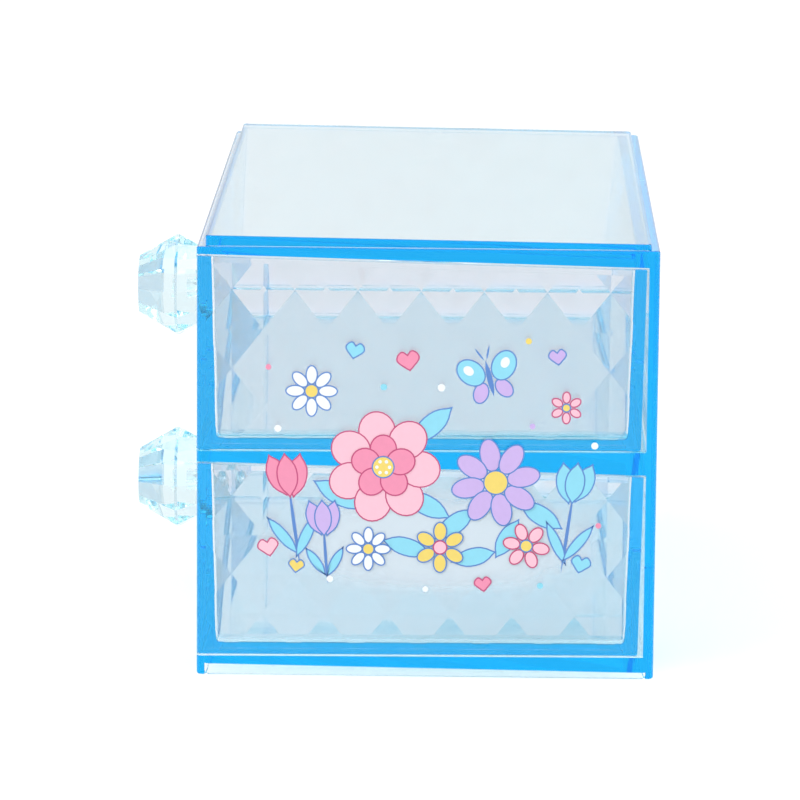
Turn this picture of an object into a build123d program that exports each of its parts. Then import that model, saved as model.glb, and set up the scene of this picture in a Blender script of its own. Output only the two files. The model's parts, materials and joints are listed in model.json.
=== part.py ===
"""Mini storage chest: a clear moulded case with two sliding drawers and faceted knobs.

Millimetres. Z is up, the drawers open toward -Y, X runs along the drawer fronts.
The origin is the centre of the case's footprint, on the plane that it stands on.
"""

from build123d import *
import os
from math import ceil, hypot, sqrt

# Case: heights are taken at its mouth, and each bay narrows toward its back
case_width = 170.0
case_depth = 96.0
bay_height = 41.8
ceiling_drop = 2.0
floor_rise = 0.6
side_wall = 2.0
back_wall = 2.2
top_thickness = 1.7
shelf_thickness = 2.1
floor_thickness = 1.5
case_corner_radius = 1.2
case_edge_radius = 0.5
bay_corner_radius = 0.5
mouth_edge_radius = 0.3

# Stacking foot under the case and raised panel on its top, both lower at the back
foot_height = 2.2
foot_drop = 1.0
foot_thickness = 1.5
stack_side_clearance = 0.25
stack_height_clearance = 0.1
panel_edge_radius = 0.4

# Drawers
drawer_side_gap = 0.5
drawer_top_gap = 0.4
drawer_floor_gap = 0.2
drawer_back_gap = 0.45
front_recess = 0.5
drawer_floor = 1.9
drawer_front_rim = 2.3
drawer_back_rim = 2.3
drawer_side_rim = 1.9
front_draft = 1.1
back_draft = 1.1
side_draft = 0.4
back_outer_draft = 0.7
cavity_radius = 0.7
cavity_side_radius = 2.3
drawer_edge_radius = 0.8
rim_edge_radius = 0.3

# Diamond lattice on the drawers' sides
diamond_width = 13.1
diamond_height = 16.7
diamond_relief = 0.25
diamond_tip = 0.03
lattice_first_row = 7.1
lattice_border = 1.4

# Knobs: two faceted cones joined at a thin belt
knob_sides = 12
knob_belt_diameter = 22.8
knob_end_diameter = 13.0
knob_rear_length = 9.0
knob_front_length = 8.3
knob_belt_width = 0.6
knob_seat_gap = 0.05
knob_hole_depth = 8.6

# Knob screws
screw_shank_diameter = 2.9
screw_thread_depth = 0.3
screw_thread_pitch = 1.05
screw_length = 10.0
screw_tip_length = 1.6
screw_head_diameter = 5.6
screw_head_height = 1.9
screw_head_crown = 0.8
screw_slot_width = 0.9
screw_slot_length = 3.2
screw_slot_depth = 1.0
screw_hole_clearance = 0.1
screw_head_clearance = 0.5
screw_seat_thickness = 2.4

# Heights of the case's levels above the base plane
bay_floor_low = foot_height + floor_thickness
shelf_bottom = bay_floor_low + bay_height
bay_floor_high = shelf_bottom + shelf_thickness
ceiling = bay_floor_high + bay_height
rim_height = ceiling + top_thickness

# Sizes that follow
bay_width = case_width - 2 * side_wall
mouth_y = -case_depth / 2
bay_end_y = case_depth / 2 - back_wall
panel_inset = foot_thickness + stack_side_clearance
panel_height = foot_height - stack_height_clearance
ceiling_slope = ceiling_drop / (case_depth - back_wall)
floor_slope = floor_rise / (case_depth - back_wall)
drawer_width = bay_width - 2 * drawer_side_gap
drawer_height = bay_height - drawer_floor_gap - drawer_top_gap
drawer_front_y = mouth_y + front_recess
drawer_back_y = bay_end_y - drawer_back_gap
drawer_length = drawer_back_y - drawer_front_y
rim_drop = ceiling_slope * drawer_length
drawer_rise = floor_slope * drawer_length
knob_height = drawer_height / 2
screw_hole_diameter = screw_shank_diameter + 2 * screw_hole_clearance
screw_seat_diameter = screw_head_diameter + 2 * screw_head_clearance


def sloped_block(width, depth, front_height, back_height):
    """A block with rounded corners on Z = 0 whose top falls evenly from its front to its back."""
    outline = Polyline(
        (-depth / 2, 0),
        (depth / 2, 0),
        (depth / 2, back_height),
        (-depth / 2, front_height),
        close=True,
    )
    wedge = extrude(Plane.YZ * make_face(outline), width / 2, both=True)
    return wedge & extrude(RectangleRounded(width, depth, case_corner_radius), front_height)


def bay_section(y, bay_floor, height):
    """A bay's rounded outline where its depth is y."""
    section = Plane(origin=(0, y, bay_floor + height / 2), x_dir=(1, 0, 0), z_dir=(0, 1, 0))
    return section * RectangleRounded(bay_width, height, bay_corner_radius)


def make_case():
    """The outer shell with its shelf, open at the front, with the stacking foot and panel."""
    shell = extrude(RectangleRounded(case_width, case_depth, case_corner_radius), rim_height)
    rims = shell.faces().sort_by(Axis.Z)
    shell = fillet(rims[0].edges() + rims[-1].edges(), case_edge_radius)

    panel_size = (case_width - 2 * panel_inset, case_depth - 2 * panel_inset)
    panel = sloped_block(*panel_size, panel_height, panel_height - foot_drop)
    panel = fillet(panel.faces().sort_by(Axis.Z)[-1].edges(), panel_edge_radius)
    shell = shell + Pos(0, 0, rim_height) * panel

    foot_size = (case_width - 2 * foot_thickness, case_depth - 2 * foot_thickness)
    shell = shell - sloped_block(*foot_size, foot_height, foot_height - foot_drop)

    for bay_floor in (bay_floor_low, bay_floor_high):
        mouth_section = bay_section(mouth_y, bay_floor, bay_height)
        end_section = bay_section(bay_end_y, bay_floor + floor_rise, bay_height - ceiling_drop - floor_rise)
        shell = shell - loft([mouth_section, end_section], ruled=True)

    mouth = shell.faces().sort_by(Axis.Y)[0]
    mouth_edges = [edge for wire in mouth.inner_wires() for edge in wire.edges()]
    return fillet(mouth_edges, mouth_edge_radius)


def lattice_cut(width, height, rise, spread):
    """One family of parallel V grooves across a panel that lies in the XY plane, outside up.

    The grooves run along (spread, rise). One of them passes through the origin.
    """
    side = hypot(spread, rise)
    along = Vector(spread / side, rise / side, 0)
    across = Vector(-rise / side, spread / side, 0)
    pitch = 2 * abs(spread) * abs(rise) / side
    reach = hypot(width, height)
    count = ceil(reach / pitch)
    top = diamond_tip + 1.0
    outline = []
    for number in range(-count, count + 1):
        outline.append((number * pitch, -diamond_relief))
        outline.append(((number + 0.5) * pitch, diamond_tip))
    outline.append(((count + 0.5) * pitch, top))
    outline.append((-count * pitch, top))
    section = Plane(origin=along * -reach, x_dir=across, z_dir=along)
    profile = section * make_face(Polyline(*outline, close=True))
    return extrude(profile, 2 * reach, dir=along)


def diamond_cutters(length):
    """What is cut from a drawer's side to leave shallow pyramids inside a plain border.

    The local origin is a crossing of the grooves, lattice_first_row below the front's rim.
    """
    rise = diamond_height / 2
    spread = diamond_width / 2
    reach = length / 2 - lattice_border
    low = lattice_first_row - drawer_height + lattice_border
    high = lattice_first_row - lattice_border
    outline = Polyline(
        (-reach, low),
        (reach, low + drawer_rise),
        (reach, high - rim_drop),
        (-reach, high),
        close=True,
    )
    window = extrude(make_face(outline), 2 * diamond_relief, both=True)
    one_way = lattice_cut(length, drawer_height, rise, spread)
    other_way = lattice_cut(length, drawer_height, rise, -spread)
    return [one_way & window, other_way & window]


def cavity_section(level, front, back, side):
    """The drawer cavity's outline at one height, from the wall thicknesses there."""
    length = drawer_length - front - back
    middle = (front - back) / 2
    return Pos(0, drawer_length / 2 + middle, level) * Rectangle(drawer_width - 2 * side, length)


def drawer_block(back_length, bottom, top_back):
    """A block as wide as the drawer whose bottom rises and whose top may fall toward the back."""
    flank = Polyline(
        (0, bottom),
        (back_length, bottom + drawer_rise),
        (drawer_length, top_back),
        (0, drawer_height),
        close=True,
    )
    profile = Plane(origin=(-drawer_width / 2, 0, 0), x_dir=(0, 1, 0), z_dir=(1, 0, 0)) * make_face(flank)
    return extrude(profile, drawer_width)


def make_cavity():
    """The space in a drawer: drafted walls, a rounded floor and wider curves along its two long sides."""
    low_front = drawer_front_rim + front_draft
    low_back = drawer_back_rim + back_draft
    low = cavity_section(0, low_front, low_back, drawer_side_rim + side_draft)
    high = cavity_section(drawer_height, drawer_front_rim, drawer_back_rim, drawer_side_rim)
    cavity = loft([low, high], ruled=True) & drawer_block(drawer_length, drawer_floor, drawer_height)
    floor_edges = cavity.faces().sort_by(Axis.Z)[0].edges().sort_by(Axis.X)
    cavity = fillet([floor_edges[0], floor_edges[-1]], cavity_side_radius)
    faces = cavity.faces()
    end_edges = faces.sort_by(Axis.Y)[0].edges() + faces.sort_by(Axis.Y)[-1].edges()
    rim_edges = faces.sort_by(Axis.Z)[-1].edges()
    return fillet([edge for edge in end_edges if edge not in rim_edges], cavity_radius)


def make_drawer():
    """One drawer, its front's lower edge on Z = 0 and its front's outer face at Y = 0."""
    body = drawer_block(drawer_length - back_outer_draft, 0, drawer_height - rim_drop)
    body = fillet(body.faces().sort_by(Axis.Z)[0].edges(), drawer_edge_radius)
    body = body - make_cavity()
    body = fillet(body.faces().sort_by(Axis.Z)[-1].edges(), rim_edge_radius)

    panel_length = drawer_length - back_outer_draft
    crossing = (drawer_width / 2, panel_length / 2, drawer_height - lattice_first_row)
    side = Plane(origin=crossing, x_dir=(0, 1, 0), z_dir=(1, 0, 0))
    for cutter in diamond_cutters(panel_length):
        cut = side * cutter
        body = body - cut - mirror(cut, about=Plane.YZ)

    bore = Plane(origin=(0, 0, knob_height), x_dir=(1, 0, 0), z_dir=(0, 1, 0))
    through = drawer_front_rim + front_draft
    seat = Plane(origin=(0, screw_seat_thickness, knob_height), x_dir=(1, 0, 0), z_dir=(0, 1, 0))
    body = body - extrude(bore * Circle(screw_hole_diameter / 2), 2 * through)
    return body - extrude(seat * Circle(screw_seat_diameter / 2), 2 * through)


def make_knob():
    """One knob, its seat face on Y = 0 and its body toward -Y, a corner pointing along X."""
    def ring(distance, diameter):
        plane = Plane(origin=(0, -distance, 0), x_dir=(1, 0, 0), z_dir=(0, -1, 0))
        return plane * RegularPolygon(diameter / 2, knob_sides)

    belt_start = knob_rear_length
    belt_end = belt_start + knob_belt_width
    knob_length = belt_end + knob_front_length
    rear = loft([ring(0, knob_end_diameter), ring(belt_start, knob_belt_diameter)], ruled=True)
    belt = extrude(ring(belt_start, knob_belt_diameter), knob_belt_width)
    front = loft([ring(belt_end, knob_belt_diameter), ring(knob_length, knob_end_diameter)], ruled=True)
    mouth = Plane(origin=(0, 0, 0), x_dir=(1, 0, 0), z_dir=(0, -1, 0))
    hole = extrude(mouth * Circle(screw_hole_diameter / 2), knob_hole_depth)
    return rear + belt + front - hole


def make_screw():
    """One screw along Y: the head's seat on Y = 0, its shank toward -Y, its crown toward +Y."""
    crest = screw_shank_diameter / 2
    root = crest - screw_thread_depth
    head = screw_head_diameter / 2
    shoulder = screw_head_height - screw_head_crown
    turns = int((screw_length - screw_tip_length) / screw_thread_pitch)
    shank = [(head, shoulder), (head, 0), (crest, 0)]
    for turn in range(turns):
        start = turn * screw_thread_pitch
        shank.append((crest, -start - 0.25 * screw_thread_pitch))
        shank.append((root, -start - 0.5 * screw_thread_pitch))
        shank.append((root, -start - 0.75 * screw_thread_pitch))
        shank.append((crest, -start - screw_thread_pitch))
    shank.append((0, -screw_length))
    crown_radius = (head**2 + screw_head_crown**2) / (2 * screw_head_crown)
    crown_drop = crown_radius - sqrt(crown_radius**2 - (head / 2) ** 2)
    crown_middle = (head / 2, screw_head_height - crown_drop)
    crown = ThreePointArc((head, shoulder), crown_middle, (0, screw_head_height))
    centre_line = Line((0, screw_head_height), (0, -screw_length))
    edges = [Polyline(*shank), crown, centre_line]
    body = revolve(make_face(edges), Axis.Y)
    depth = Pos(0, screw_head_height - screw_slot_depth / 2, 0)
    body = body - depth * Box(screw_slot_length, screw_slot_depth, screw_slot_width)
    return body - depth * Box(screw_slot_width, screw_slot_depth, screw_slot_length)


def main():
    """Write each piece, in its place, to a STEP file under its own name."""
    drawer = make_drawer()
    knob = make_knob()
    screw = make_screw()
    pieces = {"case": make_case()}
    for name, bay_floor in (("lower", bay_floor_low), ("upper", bay_floor_high)):
        base = bay_floor + drawer_floor_gap
        place = Pos(0, drawer_front_y, base)
        knob_place = Pos(0, drawer_front_y - knob_seat_gap, base + knob_height)
        screw_place = Pos(0, drawer_front_y + screw_seat_thickness + knob_seat_gap, base + knob_height)
        pieces[name + "_drawer"] = place * drawer
        pieces[name + "_knob"] = knob_place * knob
        pieces[name + "_knob_screw"] = screw_place * screw
    os.makedirs("parts", exist_ok=True)
    for name, piece in pieces.items():
        piece.label = name
        export_step(piece, f"parts/{name}.step")
        print(name, len(piece.solids()), "solid", round(piece.volume, 1), "mm3")


main()
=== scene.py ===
"""Mini storage chest of clear light-blue plastic: finishes, wall print, floor, lights and camera.

Metres, Z up, drawers open toward -Y. The packed model is the frame, and every piece is placed from it.
"""

import json
import math

import bmesh
import bpy
from bpy.props import FloatProperty, FloatVectorProperty, PointerProperty
from mathutils import Matrix, Vector

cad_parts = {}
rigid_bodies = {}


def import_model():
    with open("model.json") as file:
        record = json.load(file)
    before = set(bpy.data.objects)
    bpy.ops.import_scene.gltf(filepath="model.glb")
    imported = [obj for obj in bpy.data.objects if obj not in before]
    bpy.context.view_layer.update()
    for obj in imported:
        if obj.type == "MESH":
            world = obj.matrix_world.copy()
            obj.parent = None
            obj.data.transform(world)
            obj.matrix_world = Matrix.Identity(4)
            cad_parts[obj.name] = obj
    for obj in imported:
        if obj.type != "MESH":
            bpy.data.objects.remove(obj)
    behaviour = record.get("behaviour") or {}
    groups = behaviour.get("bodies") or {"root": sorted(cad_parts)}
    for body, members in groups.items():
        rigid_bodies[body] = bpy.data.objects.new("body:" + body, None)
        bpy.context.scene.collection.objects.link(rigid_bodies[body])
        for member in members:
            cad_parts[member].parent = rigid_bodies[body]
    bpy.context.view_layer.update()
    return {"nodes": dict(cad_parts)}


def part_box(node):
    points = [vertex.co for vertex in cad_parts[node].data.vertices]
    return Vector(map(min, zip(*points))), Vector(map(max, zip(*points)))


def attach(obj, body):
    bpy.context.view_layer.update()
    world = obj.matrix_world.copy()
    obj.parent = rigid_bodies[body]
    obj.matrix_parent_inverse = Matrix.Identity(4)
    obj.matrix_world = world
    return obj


bl_info = {
    "name": "Mini Storage Chest",
    "version": (1, 0, 0),
    "blender": (4, 5, 0),
    "location": "View3D > Sidebar > Chest",
    "description": "Finishes, wall print and photo stage for a clear two-drawer chest",
    "category": "Object",
}

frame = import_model()
CASE_LOW, CASE_HIGH = (Vector(corner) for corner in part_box("case"))
CLEAR_NODES = ("case", "upper_drawer", "lower_drawer")
KNOB_NODES = ("upper_knob", "lower_knob")
SCREW_NODES = ("upper_knob_screw", "lower_knob_screw")


def colour(name, description, default):
    """A colour setting."""
    return FloatVectorProperty(
        name=name, description=description, default=default, subtype="COLOR", min=0.0, max=1.0
    )


def length(name, description, default):
    """A length setting in metres."""
    return FloatProperty(name=name, description=description, default=default, unit="LENGTH", precision=5)


def angle(name, description, degrees):
    """An angle setting, given in degrees."""
    return FloatProperty(name=name, description=description, default=math.radians(degrees), subtype="ANGLE")


def number(name, description, default):
    """A plain setting that isn't below zero."""
    return FloatProperty(name=name, description=description, default=default, min=0.0)


class ChestFinishSettings(bpy.types.PropertyGroup):
    """Plastic, acrylic, metal and ink."""

    stain_colour: colour("Stain", "What the plastic lets through", (0.0, 0.87, 1.0))
    stain_density: number("Stain density", "Absorption per metre", 34.0)
    plastic_index: number("Plastic index", "Refractive index of styrene", 1.59)
    plastic_haze: colour("Plastic haze", "What each of its faces lets through", (0.978, 0.939, 0.952))
    plastic_sheen: colour("Plastic sheen", "Tint of what the plastic reflects face on", (0.3, 0.85, 1.0))
    plastic_shadow: colour("Plastic shadow", "What one face leaves of lamp light", (0.97, 0.976, 0.984))
    acrylic_index: number("Acrylic index", "Refractive index of the knobs", 1.49)
    knob_haze: colour("Knob haze", "What each facet lets through", (0.87, 0.945, 0.97))
    knob_tint: colour("Knob tint", "What the knobs let through", (0.55, 0.95, 0.99))
    knob_density: number("Knob density", "Absorption per metre", 9.0)
    knob_shadow: colour("Knob shadow", "What one facet leaves of lamp light", (0.97, 0.985, 0.995))
    screw_colour: colour("Screw", "Bright zinc plating", (0.72, 0.73, 0.76))


class ChestPrintSettings(bpy.types.PropertyGroup):
    """The pastel flower print on the side wall."""

    ink_gap: length("Ink gap", "Clear distance between the wall and its first layer of ink", 0.00001)
    ink_thickness: length("Ink thickness", "Height of one layer of ink", 0.000015)
    outline_width: length("Outline width", "Dark edge around a printed shape", 0.00028)
    pink: colour("Pink", "Pink ink", (0.87, 0.29, 0.45))
    rose: colour("Rose", "Light pink ink", (0.93, 0.55, 0.66))
    lilac: colour("Lilac", "Lilac ink", (0.60, 0.45, 0.82))
    sky: colour("Sky", "Cyan ink", (0.27, 0.70, 0.87))
    butter: colour("Butter", "Yellow ink", (0.88, 0.68, 0.16))
    white: colour("White", "White ink", (0.88, 0.92, 0.96))
    mist: colour("Mist", "Pale ink behind the flowers", (0.76, 0.87, 0.95))
    navy: colour("Navy", "Blue outline ink", (0.10, 0.24, 0.60))
    berry: colour("Berry", "Dark pink outline ink", (0.55, 0.07, 0.20))


class ChestStageSettings(bpy.types.PropertyGroup):
    """Camera, lamps and floor."""

    lens: number("Lens", "Focal length in millimetres", 231.77)
    camera_place: FloatVectorProperty(
        name="Camera", description="Where the camera stands", default=(1.13566, 0.01144, 0.26565),
        subtype="TRANSLATION",
    )
    camera_pitch: angle("Pitch", "How far the camera looks down", 11.112)
    camera_turn: angle("Turn", "Turn of the camera toward the drawers", 0.93)
    camera_roll: angle("Roll", "Tilt of the picture", 0.452)
    floor_size: length("Floor", "Side of the square floor", 4.0)
    floor_gap: length("Floor gap", "Clear distance between the foot and the floor", 0.0001)
    world_level: number("World level", "Strength of the room's light", 0.75)
    near_lift: number("Near lift", "Light added to the floor by the chest", 0.22)
    far_lift: number("Far lift", "Light added to the floor a metre away", 0.36)
    through_lift: number("Through lift", "What far lift is as seen through the chest", 0.08)


SETTINGS = {
    "chest_finish": ChestFinishSettings,
    "chest_print": ChestPrintSettings,
    "chest_stage": ChestStageSettings,
}


def new_material(name):
    """A material with an empty tree, its output and a function that adds nodes."""
    material = bpy.data.materials.new(name)
    material.use_nodes = True
    tree = material.node_tree
    tree.nodes.clear()
    output = tree.nodes.new("ShaderNodeOutputMaterial")
    return material, tree, output


def principled(tree, **values):
    """A Principled shader with the given sockets set."""
    shader = tree.nodes.new("ShaderNodeBsdfPrincipled")
    for socket, value in values.items():
        shader.inputs[socket.replace("_", " ")].default_value = value
    return shader


def object_noise(tree, scale, detail=2.0):
    """Noise that stays on the piece."""
    place = tree.nodes.new("ShaderNodeTexCoord")
    noise = tree.nodes.new("ShaderNodeTexNoise")
    noise.inputs["Scale"].default_value = scale
    noise.inputs["Detail"].default_value = detail
    tree.links.new(place.outputs["Object"], noise.inputs["Vector"])
    return noise


def ramp_value(tree, source, low, high):
    """Maps a 0 to 1 value onto low to high."""
    ramp = tree.nodes.new("ShaderNodeMapRange")
    ramp.inputs["To Min"].default_value = low
    ramp.inputs["To Max"].default_value = high
    tree.links.new(source, ramp.inputs["Value"])
    return ramp.outputs["Result"]


def seen_directly(tree):
    """1 for what the camera sees, also in a reflection or through the plastic, and 0 for stray light."""
    light = tree.nodes.new("ShaderNodeLightPath")
    value = light.outputs["Is Camera Ray"]
    for kind in ("Is Glossy Ray", "Is Transmission Ray"):
        larger = tree.nodes.new("ShaderNodeMath")
        larger.operation = "MAXIMUM"
        tree.links.new(value, larger.inputs[0])
        tree.links.new(light.outputs[kind], larger.inputs[1])
        value = larger.outputs["Value"]
    return value


def clear_material(name, index, haze, sheen, tint, density, wave_scale, wave_height, shadow_tint):
    """Clear moulded plastic: it refracts, stains long light paths and lets lamp light through."""
    material, tree, output = new_material(name)
    shader = principled(
        tree, Base_Color=(*haze, 1), IOR=index, Transmission_Weight=1.0, Specular_Tint=(*sheen, 1)
    )
    gloss = object_noise(tree, scale=60.0)
    roughness = ramp_value(tree, gloss.outputs["Fac"], low=0.0, high=0.03)
    tree.links.new(roughness, shader.inputs["Roughness"])
    wave = object_noise(tree, wave_scale)
    bump = tree.nodes.new("ShaderNodeBump")
    bump.inputs["Distance"].default_value = wave_height
    bump.inputs["Strength"].default_value = 1.0
    tree.links.new(wave.outputs["Fac"], bump.inputs["Height"])
    tree.links.new(bump.outputs["Normal"], shader.inputs["Normal"])

    light = tree.nodes.new("ShaderNodeLightPath")
    through = tree.nodes.new("ShaderNodeBsdfTransparent")
    through.inputs["Color"].default_value = (*shadow_tint, 1)
    mix = tree.nodes.new("ShaderNodeMixShader")
    tree.links.new(light.outputs["Is Shadow Ray"], mix.inputs["Fac"])
    tree.links.new(shader.outputs["BSDF"], mix.inputs[1])
    tree.links.new(through.outputs["BSDF"], mix.inputs[2])
    tree.links.new(mix.outputs["Shader"], output.inputs["Surface"])

    stain = tree.nodes.new("ShaderNodeVolumeAbsorption")
    stain.inputs["Color"].default_value = (*tint, 1)
    stain.inputs["Density"].default_value = density
    tree.links.new(stain.outputs["Volume"], output.inputs["Volume"])
    return material


def metal_material(name, tint):
    """Bright plated steel with fine turning marks."""
    material, tree, output = new_material(name)
    shader = principled(tree, Base_Color=(*tint, 1), Metallic=1.0)
    grain = object_noise(tree, scale=2500.0, detail=4.0)
    roughness = ramp_value(tree, grain.outputs["Fac"], low=0.18, high=0.34)
    tree.links.new(roughness, shader.inputs["Roughness"])
    tree.links.new(shader.outputs["BSDF"], output.inputs["Surface"])
    return material


def ink_material(name, tint):
    """Screen-printed ink with a slightly uneven coat."""
    material, tree, output = new_material(name)
    shader = principled(tree, Roughness=0.35)
    coat = object_noise(tree, scale=900.0, detail=3.0)
    thin_coat = 1.08
    blend = tree.nodes.new("ShaderNodeMix")
    blend.data_type = "RGBA"
    blend.inputs["A"].default_value = (*tint, 1)
    blend.inputs["B"].default_value = (*[min(1.0, part * thin_coat) for part in tint], 1)
    tree.links.new(coat.outputs["Fac"], blend.inputs["Factor"])
    tree.links.new(blend.outputs["Result"], shader.inputs["Base Color"])
    tree.links.new(shader.outputs["BSDF"], output.inputs["Surface"])
    return material


def finish_node(node, material):
    """Gives one CAD node its material."""
    piece = frame["nodes"][node]
    piece.data.materials.clear()
    piece.data.materials.append(material)


class CHEST_OT_finish_plastic(bpy.types.Operator):
    """Give the case and the drawers their clear blue plastic"""

    bl_idname = "chest.finish_plastic"
    bl_label = "Finish Case and Drawers"

    def execute(self, context):
        settings = context.scene.chest_finish
        plastic = clear_material(
            "clear_blue_plastic", settings.plastic_index, settings.plastic_haze, settings.plastic_sheen,
            settings.stain_colour, settings.stain_density, wave_scale=35.0, wave_height=0.00001,
            shadow_tint=settings.plastic_shadow,
        )
        for node in CLEAR_NODES:
            finish_node(node, plastic)
        return {"FINISHED"}


class CHEST_OT_finish_knobs(bpy.types.Operator):
    """Give the faceted knobs their clear acrylic"""

    bl_idname = "chest.finish_knobs"
    bl_label = "Finish Knobs"

    def execute(self, context):
        settings = context.scene.chest_finish
        plain_sheen = (1.0, 1.0, 1.0)
        acrylic = clear_material(
            "clear_acrylic", settings.acrylic_index, settings.knob_haze, plain_sheen, settings.knob_tint,
            settings.knob_density, wave_scale=80.0, wave_height=0.00001, shadow_tint=settings.knob_shadow,
        )
        for node in KNOB_NODES:
            finish_node(node, acrylic)
        return {"FINISHED"}


class CHEST_OT_finish_screws(bpy.types.Operator):
    """Give the knob screws their zinc plating"""

    bl_idname = "chest.finish_screws"
    bl_label = "Finish Screws"

    def execute(self, context):
        zinc = metal_material("zinc_steel", context.scene.chest_finish.screw_colour)
        for node in SCREW_NODES:
            finish_node(node, zinc)
        return {"FINISHED"}


def soft_ink_material(name, tint, cover, middle, reach):
    """A thin see-through coat of ink that fades out unevenly toward the edge of its oval."""
    material, tree, output = new_material(name)
    shader = principled(tree, Base_Color=(*tint, 1), Roughness=0.4)
    place = tree.nodes.new("ShaderNodeTexCoord")
    centre = tree.nodes.new("ShaderNodeMapping")
    centre.vector_type = "TEXTURE"
    centre.inputs["Location"].default_value = middle
    centre.inputs["Scale"].default_value = reach
    tree.links.new(place.outputs["Object"], centre.inputs["Vector"])
    distance = tree.nodes.new("ShaderNodeVectorMath")
    distance.operation = "LENGTH"
    tree.links.new(centre.outputs["Vector"], distance.inputs[0])
    patches = object_noise(tree, scale=90.0)
    uneven = tree.nodes.new("ShaderNodeMath")
    uneven.operation = "MULTIPLY_ADD"
    uneven.inputs[1].default_value = 0.35
    tree.links.new(patches.outputs["Fac"], uneven.inputs[0])
    tree.links.new(distance.outputs["Value"], uneven.inputs[2])
    fade = tree.nodes.new("ShaderNodeMapRange")
    fade.interpolation_type = "SMOOTHSTEP"
    fade.inputs["From Min"].default_value = 1.08
    fade.inputs["From Max"].default_value = 0.6
    fade.inputs["To Min"].default_value = 0.0
    fade.inputs["To Max"].default_value = cover
    tree.links.new(uneven.outputs["Value"], fade.inputs["Value"])
    tree.links.new(fade.outputs["Result"], shader.inputs["Alpha"])
    tree.links.new(shader.outputs["BSDF"], output.inputs["Surface"])
    return material


WALL = CASE_HIGH.x
EDGE_INK = {"pink": "berry", "rose": "berry"}
MM = 0.001

# How an oval is shaped, in shares of its size: from where its points move, how far and how they spread
LEAF_END = ((0.25, 0.03, 0.85), (0.36, 0.03, 0.6), (0.458, 0.04, 1.0))
HEART_FOOT = ((-0.05, 0.0, 0.95), (-0.15, -0.02, 0.88), (-0.22, -0.03, 0.85), (-0.32, -0.03, 0.78))

# The half width of a heart's notch or tip that moves, and how far
HEART_NOTCH = ((0.16, -0.06), (0.03, -0.15))
HEART_TIP = (0.03, -0.06)

# Layers of ink from the wall out: leaves lie on 1 to 4, tulips on 5 to 10
FREE_LEAF_LEVELS = 4
BLOOM_LEVEL = 3
DAISY_LEVEL = 11
TOP_LEVEL = 12


def print_level(settings, level):
    """How far out one layer of ink lies."""
    return WALL + settings.ink_gap + level * settings.ink_thickness


def printing_ink(settings, name):
    """The material of one ink, made when it is first used."""
    return bpy.data.materials.get(name + "_ink") or ink_material(name + "_ink", getattr(settings, name))


def move_points(shape, centre, chosen, up, spread=1.0):
    """Shifts and spreads the points that the test picks and selects the whole shape again."""
    mesh = bmesh.from_edit_mesh(shape.data)
    for point in mesh.verts:
        point.select = chosen(point.co - centre)
    bmesh.update_edit_mesh(shape.data)
    bpy.ops.transform.resize(value=(1.0, spread, 1.0), center_override=centre)
    bpy.ops.transform.translate(value=(0, 0, up))
    bpy.ops.mesh.select_all(action="SELECT")


def lay_oval(settings, place, size, level, sides=24):
    """A flat oval on the wall, in edit mode with all of it selected. Place and size are in millimetres."""
    centre = Vector((print_level(settings, level), place[0] * MM, place[1] * MM))
    bpy.ops.object.select_all(action="DESELECT")
    bpy.ops.mesh.primitive_circle_add(
        vertices=sides, radius=0.5 * MM, fill_type="NGON", location=centre,
        rotation=(0.0, math.radians(90), 0.0),
    )
    bpy.ops.object.transform_apply(location=True, rotation=True, scale=True)
    bpy.ops.object.mode_set(mode="EDIT")
    bpy.ops.transform.resize(value=(1.0, size[0], size[1]), center_override=centre)
    return bpy.context.object, centre


def turn_shape(degrees, centre):
    """Turns what is selected, anticlockwise as the print is read."""
    bpy.ops.transform.rotate(value=math.radians(-degrees), orient_axis="X", center_override=centre)


def ink_shape(settings, shape, ink, outlined=True):
    """Gives the shape its ink and a narrow border of outline ink."""
    edge = EDGE_INK.get(ink, "navy") if outlined else ink
    for name in (edge, ink):
        shape.data.materials.append(printing_ink(settings, name))
    if outlined:
        bpy.ops.mesh.inset(thickness=settings.outline_width, use_even_offset=True)
    shape.active_material_index = 1
    bpy.ops.object.material_slot_assign()
    bpy.ops.mesh.select_all(action="SELECT")


def print_oval(settings, ink, place, size, turn=0.0, level=1, outlined=True):
    """An oval, such as the middle of a flower, a wing or a dot."""
    shape, centre = lay_oval(settings, place, size, level)
    turn_shape(turn, centre)
    ink_shape(settings, shape, ink, outlined)
    bpy.ops.object.mode_set(mode="OBJECT")


def print_leaf(settings, ink, place, size, turn=0.0, level=1, outlined=True):
    """An oval whose two ends are drawn out and in to points, such as a leaf or a stem."""
    shape, centre = lay_oval(settings, place, (size[0], size[1] * 0.8), level)
    step = size[1] * MM
    for way in (1, -1):
        for start, up, spread in LEAF_END:
            move_points(shape, centre, lambda point: way * point.z > start * step, way * up * step, spread)
    turn_shape(turn, centre)
    ink_shape(settings, shape, ink, outlined)
    bpy.ops.object.mode_set(mode="OBJECT")


def print_heart(settings, ink, place, size, turn=0.0):
    """An oval with a notch in its top, whose lower half narrows in steps to a point."""
    shape, centre = lay_oval(settings, place, (size, size * 0.8), TOP_LEVEL)
    step = size * MM
    for half, up in HEART_NOTCH:
        move_points(shape, centre, lambda point: point.z > 0 and abs(point.y) < half * step, up * step)
    for top, up, spread in HEART_FOOT:
        move_points(shape, centre, lambda point: point.z < top * step, up * step, spread)
    half, up = HEART_TIP
    move_points(shape, centre, lambda point: point.z < 0 and abs(point.y) < half * step, up * step)
    turn_shape(turn, centre)
    ink_shape(settings, shape, ink)
    bpy.ops.object.mode_set(mode="OBJECT")


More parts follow.
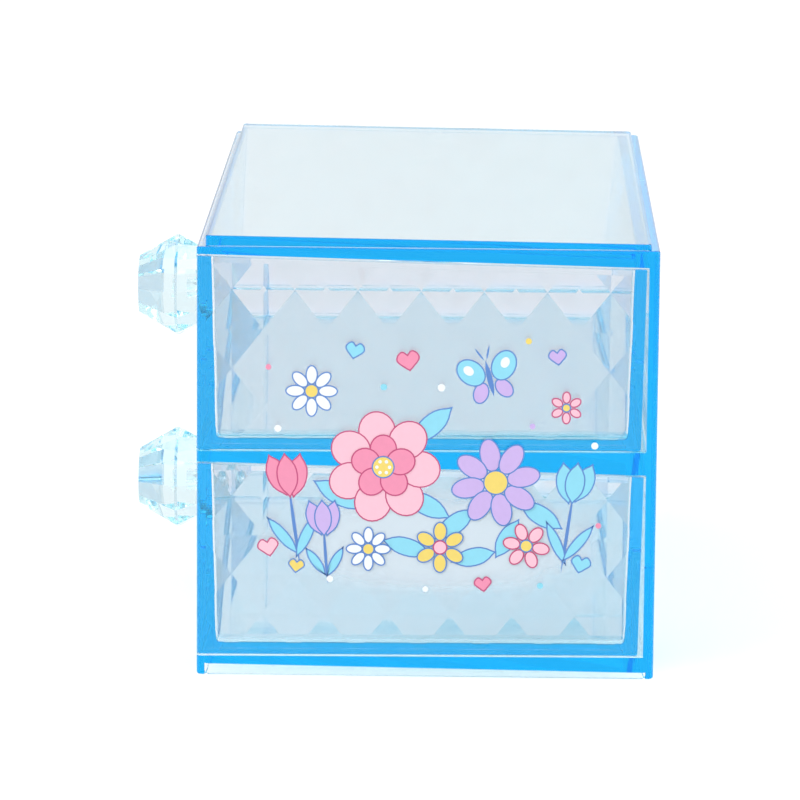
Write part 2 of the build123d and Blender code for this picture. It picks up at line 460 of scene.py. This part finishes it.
def print_petals(settings, ink, middle, radius, count, size, turn=0.0, level=1):
    """A ring of like petals, each laid a little over the one before."""
    shape, petal_centre = lay_oval(settings, (middle[0], middle[1] + radius), size, level)
    ink_shape(settings, shape, ink)
    centre = Vector((petal_centre.x, middle[0] * MM, middle[1] * MM))
    turn_shape(turn, centre)
    for _ in range(count - 1):
        bpy.ops.mesh.duplicate()
        turn_shape(360.0 / count, centre)
        bpy.ops.transform.translate(value=(settings.ink_thickness, 0, 0))
    bpy.ops.object.mode_set(mode="OBJECT")
    return level + count


def print_bloom(settings, place, size):
    """The large open flower: two rings of petals and a dotted middle."""
    outer, inner = (0.33 * size, 0.36 * size), (0.24 * size, 0.26 * size)
    level = print_petals(settings, "rose", place, 0.32 * size, 7, outer, 10, BLOOM_LEVEL)
    level = print_petals(settings, "pink", place, 0.16 * size, 5, inner, 0, level)
    print_oval(settings, "butter", place, (0.2 * size, 0.2 * size), 0, level)
    reach = 0.055 * size
    for bearing in range(0, 360, 60):
        across, up = math.cos(math.radians(bearing)), math.sin(math.radians(bearing))
        dot = (place[0] + reach * across, place[1] + reach * up)
        print_oval(settings, "white", dot, (0.03 * size, 0.03 * size), 0, level + 1, outlined=False)


def print_daisy(settings, ink, place, size, petals=8, middle="butter", turn=0.0):
    """A round flower with narrow petals."""
    width = min(0.27, 1.9 / petals) * size
    petal = (width, 0.38 * size)
    level = print_petals(settings, ink, place, 0.31 * size, petals, petal, turn, DAISY_LEVEL)
    print_oval(settings, middle, place, (0.28 * size, 0.28 * size), 0, level)


def print_tulip(settings, ink, place, size, lean=0.0, stem=18.0):
    """A cup of three petals on a stem with two leaves."""
    slope = math.radians(lean)
    foot = (place[0] + math.sin(slope) * stem * 0.6, place[1] - math.cos(slope) * stem * 0.6)
    print_leaf(settings, "navy", foot, (0.08 * size, stem), lean, 5, outlined=False)
    for level, side, turn in ((6, -1, 32), (7, 1, -32)):
        leaf = (foot[0] + side * 0.27 * size, foot[1] - 0.12 * stem)
        print_leaf(settings, "sky", leaf, (0.28 * size, 0.6 * stem), lean + turn, level)
    for level, shift, turn in ((8, -0.22, 16), (9, 0.22, -16), (10, 0.0, 0)):
        petal = (place[0] + shift * size, place[1])
        print_leaf(settings, ink, petal, (0.5 * size, 1.1 * size), lean + turn, level)


def print_butterfly(settings, place, size, lean):
    """Four wings, a body and two feelers."""
    slope = math.radians(lean)

    def about(across, up):
        return (
            place[0] + size * (across * math.cos(slope) - up * math.sin(slope)),
            place[1] + size * (across * math.sin(slope) + up * math.cos(slope)),
        )

    for side in (-1, 1):
        low, high, feeler = lean + side * 30, lean - side * 38, lean - side * 24
        print_oval(settings, "lilac", about(side * 0.19, -0.2), (0.26 * size, 0.36 * size), low, 1)
        print_oval(settings, "sky", about(side * 0.27, 0.16), (0.4 * size, 0.52 * size), high, 2)
        print_oval(settings, "white", about(side * 0.3, 0.2), (0.14 * size, 0.18 * size), high, 3, False)
        print_leaf(settings, "navy", about(side * 0.07, 0.42), (0.03 * size, 0.26 * size), feeler, 4, False)
    print_leaf(settings, "navy", about(0, 0), (0.09 * size, 0.62 * size), lean, 4, False)


class CHEST_OT_print_wall(bpy.types.Operator):
    """Print the pastel flowers on the side wall"""

    bl_idname = "chest.print_wall"
    bl_label = "Print Wall"

    def execute(self, context):
        settings = context.scene.chest_print
        before = set(context.scene.objects)
        self.print_haze(settings)
        haze = set(context.scene.objects) - before
        self.print_meadow(settings)
        self.print_air(settings)
        flowers = set(context.scene.objects) - before - haze
        for piece in self.part_inks(context, flowers) + list(haze):
            self.thicken(context, piece, settings)
            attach(piece, "chest")
        return {"FINISHED"}

    def print_haze(self, settings):
        """A soft pale oval behind the flowers."""
        middle, size = (2.0, 29.0), (78.0, 27.0)
        shape, centre = lay_oval(settings, middle, size, level=0, sides=64)
        bpy.ops.object.mode_set(mode="OBJECT")
        shape.name = "print_haze"
        reach = (1.0, size[0] * 0.5 * MM, size[1] * 0.5 * MM)
        ink = soft_ink_material("haze_ink", settings.mist, cover=0.78, middle=centre, reach=reach)
        shape.data.materials.append(ink)

    def print_meadow(self, settings):
        """The large flowers, low on the wall."""
        print_tulip(settings, "pink", (-29, 43), 9, 8)
        print_tulip(settings, "sky", (31, 42), 8.5, -8)
        print_tulip(settings, "lilac", (-21.5, 34), 7.5, 4, 13)
        for count, (place, size, turn) in enumerate((
            ((-18, 39), (4.6, 13), 62), ((1, 54), (4.6, 12), -48), ((0, 37), (4.4, 12), -118),
            ((6, 33), (4.2, 11), 128), ((24, 35), (4.2, 11), -122), ((17, 30), (4.0, 10), 150),
            ((-4, 28), (4.0, 11), 74), ((10, 26), (4.0, 10), -76),
        )):
            print_leaf(settings, "sky", place, size, turn, 1 + count % FREE_LEAF_LEVELS)
        print_bloom(settings, (-9, 45), 24)
        print_daisy(settings, "lilac", (14.5, 42), 19, 8, turn=12)
        print_daisy(settings, "butter", (3, 28), 11, 6, "rose")
        print_daisy(settings, "white", (-12, 27.5), 9.5, 8)
        print_daisy(settings, "rose", (21, 28.5), 10, 6, turn=20)
        for ink, place, size, turn in (
            ("rose", (-33, 28), 4.6, 12), ("sky", (32.5, 25), 4.4, -14),
            ("butter", (-27, 24), 3.6, -8), ("pink", (12, 20.5), 3.8, 8),
        ):
            print_heart(settings, ink, place, size, turn)

    def print_air(self, settings):
        """The small accents above the flowers."""
        print_butterfly(settings, (13, 64), 13, 14)
        print_daisy(settings, "white", (-24, 61), 11, 8)
        print_daisy(settings, "rose", (29, 58), 7, 6)
        for ink, place, size, turn in (
            ("pink", (-4, 68), 5.0, 10), ("sky", (-15, 70), 4.2, -12), ("lilac", (27, 69), 4.0, 8),
        ):
            print_heart(settings, ink, place, size, turn)
        for ink, place, size in (
            ("white", (-31, 53), 1.5), ("pink", (-33, 66), 1.2), ("sky", (-9, 62), 1.4),
            ("white", (3, 62), 1.6), ("butter", (21, 72), 1.3), ("white", (35, 50), 1.5),
            ("lilac", (22, 54), 1.2), ("white", (-20, 21), 1.4), ("sky", (24, 20), 1.3),
            ("white", (0, 19), 1.2), ("pink", (36, 33), 1.2),
        ):
            print_oval(settings, ink, place, (size, size), level=TOP_LEVEL, outlined=False)

    def part_inks(self, context, shapes):
        """Joins the flat shapes and parts them again by ink."""
        bpy.ops.object.select_all(action="DESELECT")
        for shape in shapes:
            shape.select_set(True)
        context.view_layer.objects.active = sorted(shapes, key=lambda shape: shape.name)[0]
        bpy.ops.object.join()
        bpy.ops.object.mode_set(mode="EDIT")
        bpy.ops.mesh.select_all(action="SELECT")
        bpy.ops.mesh.separate(type="MATERIAL")
        bpy.ops.object.mode_set(mode="OBJECT")
        return list(context.selected_objects)

    def thicken(self, context, piece, settings):
        """Makes a flat sheet one closed layer of ink."""
        context.view_layer.objects.active = piece
        layer = piece.modifiers.new("layer", "SOLIDIFY")
        layer.thickness = settings.ink_thickness
        layer.offset = 1.0
        bpy.ops.object.modifier_apply(modifier=layer.name)
        piece.name = "print_" + piece.data.materials[0].name.replace("_ink", "")


class CHEST_OT_add_stage(bpy.types.Operator):
    """Add the floor, the lamps, the room light and the camera"""

    bl_idname = "chest.add_stage"
    bl_label = "Add Stage"

    def execute(self, context):
        settings = context.scene.chest_stage
        self.add_floor(settings)
        self.add_lamps()
        self.set_world(context.scene, settings)
        self.add_camera(context.scene, settings)
        context.scene.view_settings.view_transform = "Standard"
        self.let_light_through(context.scene.cycles)
        return {"FINISHED"}

    def let_light_through(self, cycles):
        """Lets light cross the many walls, run along inside them and reach what lies behind them."""
        cycles.max_bounces = cycles.transmission_bounces = 96
        cycles.glossy_bounces = cycles.transparent_max_bounces = 64
        cycles.caustics_refractive = cycles.caustics_reflective = True

    def add_floor(self, settings):
        """A plain pale floor under the foot, lifted toward white as it is seen, most far from the lamps."""
        bpy.ops.object.select_all(action="DESELECT")
        height = CASE_LOW.z - settings.floor_gap
        bpy.ops.mesh.primitive_plane_add(size=settings.floor_size, location=(0, 0, height))
        floor = bpy.context.object
        floor.name = "floor"
        material, tree, output = new_material("pale_floor")
        shader = principled(tree, Base_Color=(0.8, 0.8, 0.8, 1), Roughness=0.9, Specular_IOR_Level=0.0)
        place = tree.nodes.new("ShaderNodeTexCoord")
        distance = tree.nodes.new("ShaderNodeVectorMath")
        distance.operation = "LENGTH"
        tree.links.new(place.outputs["Object"], distance.inputs[0])
        strength = tree.nodes.new("ShaderNodeMath")
        strength.operation = "MULTIPLY"
        light = tree.nodes.new("ShaderNodeLightPath")
        far_level = ramp_value(tree, light.outputs["Is Camera Ray"], settings.through_lift, settings.far_lift)
        level = ramp_value(tree, distance.outputs["Value"], settings.near_lift, settings.far_lift)
        tree.links.new(far_level, level.node.inputs["To Max"])
        tree.links.new(level, strength.inputs[0])
        tree.links.new(seen_directly(tree), strength.inputs[1])
        lift = tree.nodes.new("ShaderNodeEmission")
        tree.links.new(strength.outputs["Value"], lift.inputs["Strength"])
        add = tree.nodes.new("ShaderNodeAddShader")
        tree.links.new(shader.outputs["BSDF"], add.inputs[0])
        tree.links.new(lift.outputs["Emission"], add.inputs[1])
        tree.links.new(add.outputs["Shader"], output.inputs["Surface"])
        floor.data.materials.append(material)

    def add_lamps(self):
        """Two wide soft boxes above, one on each side, both aimed at the middle of the chest."""
        aim = Vector((0, 0, 0.05))
        for name, place, size, power in (
            ("key_softbox", (0.7, -0.9, 1.1), 0.9, 11.0),
            ("fill_softbox", (0.2, 1.2, 0.9), 0.9, 6.0),
        ):
            lamp = bpy.data.lights.new(name, "AREA")
            lamp.size = size
            lamp.energy = power
            holder = bpy.data.objects.new(name, lamp)
            bpy.context.scene.collection.objects.link(holder)
            holder.location = place
            holder.rotation_euler = (aim - Vector(place)).to_track_quat("-Z", "Y").to_euler()

    def set_world(self, scene, settings):
        """Plain room light, a touch stronger overhead, that is seen as white also through the plastic."""
        overhead = 1.04
        world = bpy.data.worlds.new("room")
        scene.world = world
        world.use_nodes = True
        tree = world.node_tree
        back = tree.nodes["Background"]
        level = ramp_value(tree, seen_directly(tree), low=settings.world_level, high=1.0)
        place = tree.nodes.new("ShaderNodeTexCoord")
        height = tree.nodes.new("ShaderNodeSeparateXYZ")
        tree.links.new(place.outputs["Generated"], height.inputs["Vector"])
        strength = tree.nodes.new("ShaderNodeMath")
        strength.operation = "MULTIPLY"
        tree.links.new(level, strength.inputs[0])
        tree.links.new(ramp_value(tree, height.outputs["Z"], low=1.0, high=overhead), strength.inputs[1])
        tree.links.new(strength.outputs["Value"], back.inputs["Strength"])
        back.inputs["Color"].default_value = (1, 1, 1, 1)

    def add_camera(self, scene, settings):
        """The photograph's view of the side wall, a little above the top panel."""
        data = bpy.data.cameras.new("camera")
        data.lens = settings.lens
        data.sensor_width = 36.0
        camera = bpy.data.objects.new("camera", data)
        scene.collection.objects.link(camera)
        quarter = math.radians(90)
        camera.matrix_world = (
            Matrix.Translation(settings.camera_place)
            @ Matrix.Rotation(quarter + settings.camera_turn, 4, "Z")
            @ Matrix.Rotation(quarter - settings.camera_pitch, 4, "X")
            @ Matrix.Rotation(settings.camera_roll, 4, "Z")
        )
        scene.camera = camera


OPERATORS = (
    CHEST_OT_finish_plastic,
    CHEST_OT_finish_knobs,
    CHEST_OT_finish_screws,
    CHEST_OT_print_wall,
    CHEST_OT_add_stage,
)


class CHEST_PT_panel(bpy.types.Panel):
    """The chest's settings and steps"""

    bl_idname = "CHEST_PT_panel"
    bl_label = "Mini Storage Chest"
    bl_space_type = "VIEW_3D"
    bl_region_type = "UI"
    bl_category = "Chest"

    def draw(self, context):
        for group, kind in SETTINGS.items():
            box = self.layout.box()
            box.label(text=kind.__doc__)
            for name in kind.__annotations__:
                box.prop(getattr(context.scene, group), name)
        for operator in OPERATORS:
            self.layout.operator(operator.bl_idname)


def register():
    """Add the settings, the operators and the panel."""
    for group, kind in SETTINGS.items():
        bpy.utils.register_class(kind)
        setattr(bpy.types.Scene, group, PointerProperty(type=kind))
    for operator in OPERATORS:
        bpy.utils.register_class(operator)
    bpy.utils.register_class(CHEST_PT_panel)


def unregister():
    """Take them away again."""
    bpy.utils.unregister_class(CHEST_PT_panel)
    for operator in reversed(OPERATORS):
        bpy.utils.unregister_class(operator)
    for group, kind in SETTINGS.items():
        delattr(bpy.types.Scene, group)
        bpy.utils.unregister_class(kind)


def main():
    """Dress the chest and set the stage."""
    register()
    bpy.ops.chest.finish_plastic()
    bpy.ops.chest.finish_knobs()
    bpy.ops.chest.finish_screws()
    bpy.ops.chest.print_wall()
    bpy.ops.chest.add_stage()


if __name__ == "__main__":
    main()
